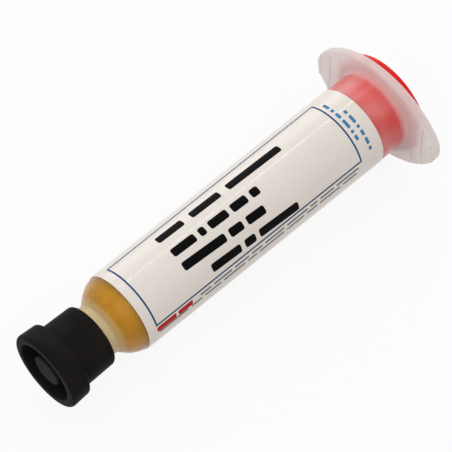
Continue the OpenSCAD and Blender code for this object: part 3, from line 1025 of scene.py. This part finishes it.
class SYRINGE_OT_end_cap(bpy.types.Operator):
    """Make the red end cap"""
    bl_idname = "syringe.end_cap"
    bl_label = "End cap"

    def execute(self, context):
        e, b = settings().end_cap, settings().barrel
        front = b.total - e.head_t
        inner_r = e.plug_r - e.plug_wall
        points = (
            [(0, front)]
            + rounding(inner_r, front, e.root_round, 90, 0, EDGE_STEPS)
            + [(inner_r, e.plug_front), (e.plug_r - e.chamfer, e.plug_front),
               (e.plug_r, e.plug_front + 2 * e.chamfer), (e.plug_r, front)]
            + rounding(e.head_r, front, e.head_round, -90, 0)
            + rounding(e.head_r, b.total, e.head_round, 0, 90)
            + [(0, b.total)]
        )
        bm = turned_solid(points)
        red = moulded_plastic("red_plastic", tuple(e.colour), gloss=0.24, grain_size=0.0008,
                              depth=0.00001, glow=0.12, mirror=0.2, uneven=0.04)
        make_piece("end_cap_moulding", bm, red, "end_cap", "end_cap")
        return {"FINISHED"}


class SYRINGE_OT_stage(bpy.types.Operator):
    """Set up the floor, the light and the camera"""
    bl_idname = "syringe.stage"
    bl_label = "Stage"

    def execute(self, context):
        s = settings().stage
        self.floor(s)
        self.lights(s)
        self.sky(s)
        self.camera(s)
        context.scene.view_settings.view_transform = "Standard"
        return {"FINISHED"}

    def floor(self, s):
        """A pale floor that looks almost white, keeps shadows and sends up less light than it shows."""
        bm = bmesh.new()
        bmesh.ops.create_grid(bm, x_segments=1, y_segments=1, size=s.floor_half)
        mesh = to_mesh("floor", bm)
        floor = new_object("floor", mesh)
        material, shader, output, feed, add = new_material("pale_floor")
        seen = any_ray(add, "Is Camera Ray", "Is Glossy Ray", "Is Transmission Ray")
        feed(shader, {
            "Base Color": tones(add, seen, tuple(s.floor_bounce), tuple(s.floor)),
            "Roughness": 0.7,
            "Specular IOR Level": 0.2,
        })
        white = add("ShaderNodeEmission", {"Color": (1, 1, 1, 1), "Strength": 1.0})
        mixed = mix(add, calc(add, "MULTIPLY", seen, s.floor_white), shader, white)
        feed(output, {"Surface": mixed.outputs[0]})
        mesh.materials.append(material)

    def lights(self, s):
        """Lamps that face the syringe, with their long sides as near to its direction as can be."""
        for name, place, size in LAMPS:
            data = bpy.data.lights.new(name, "AREA")
            data.energy = getattr(s, name + "_watts")
            data.shape = "RECTANGLE"
            data.size, data.size_y = size
            lamp = new_object(name, data)
            lamp.location = place
            away = Vector(place).normalized()
            side = away.cross(AXIS).normalized()
            lamp.rotation_euler = Matrix((side.cross(away), side, away)).transposed().to_euler()

    def sky(self, s):
        """An even light, which the camera sees as white."""
        world = bpy.data.worlds.new("studio")
        bpy.context.scene.world = world
        world.use_nodes = True
        nodes = world.node_tree.nodes
        feed, add = node_helpers(world.node_tree)
        feed(nodes["Background"], {"Color": (*s.sky_tint, 1), "Strength": s.sky})
        white = add("ShaderNodeBackground", {"Color": (1, 1, 1, 1)})
        mixed = mix(add, any_ray(add, "Is Camera Ray"), nodes["Background"], white)
        feed(nodes["World Output"], {"Surface": mixed.outputs[0]})

    def camera(self, s):
        """The camera, placed on a sphere round its target."""
        data = bpy.data.cameras.new("camera")
        data.lens = s.lens
        data.sensor_width = 36
        data.clip_start, data.clip_end = 0.01, 50
        camera = new_object("camera", data)
        back = Vector((math.sin(s.azimuth) * math.cos(s.elevation),
                       -math.cos(s.azimuth) * math.cos(s.elevation), math.sin(s.elevation)))
        camera.location = Vector(s.target) + back * s.distance
        camera.rotation_mode = "QUATERNION"
        camera.rotation_quaternion = (-back).to_track_quat("-Z", "Y") @ Quaternion((0, 0, 1), s.roll)
        bpy.context.scene.camera = camera


OPERATORS = (SYRINGE_OT_stage, SYRINGE_OT_barrel, SYRINGE_OT_label, SYRINGE_OT_print, SYRINGE_OT_paste,
             SYRINGE_OT_piston, SYRINGE_OT_tip_cap, SYRINGE_OT_end_cap)


class SYRINGE_PT_panel(bpy.types.Panel):
    """Lists the steps that build the syringe"""
    bl_idname = "SYRINGE_PT_panel"
    bl_label = "Syringe"
    bl_space_type = "VIEW_3D"
    bl_region_type = "UI"
    bl_category = "Syringe"

    def draw(self, context):
        for operator in OPERATORS:
            self.layout.operator(operator.bl_idname)


CLASSES = (BarrelSizes, LabelSizes, PasteSizes, PistonSizes, TipCapSizes, EndCapSizes, StageSettings,
           SyringeSettings, *OPERATORS, SYRINGE_PT_panel)


def register():
    for cls in CLASSES:
        bpy.utils.register_class(cls)
    bpy.types.Scene.syringe = PointerProperty(type=SyringeSettings)


def unregister():
    del bpy.types.Scene.syringe
    for cls in reversed(CLASSES):
        bpy.utils.unregister_class(cls)


def main():
    """Builds the pieces and the stage."""
    register()
    for operator in OPERATORS:
        group, name = operator.bl_idname.split(".")
        getattr(getattr(bpy.ops, group), name)()


if __name__ == "__main__":
    main()
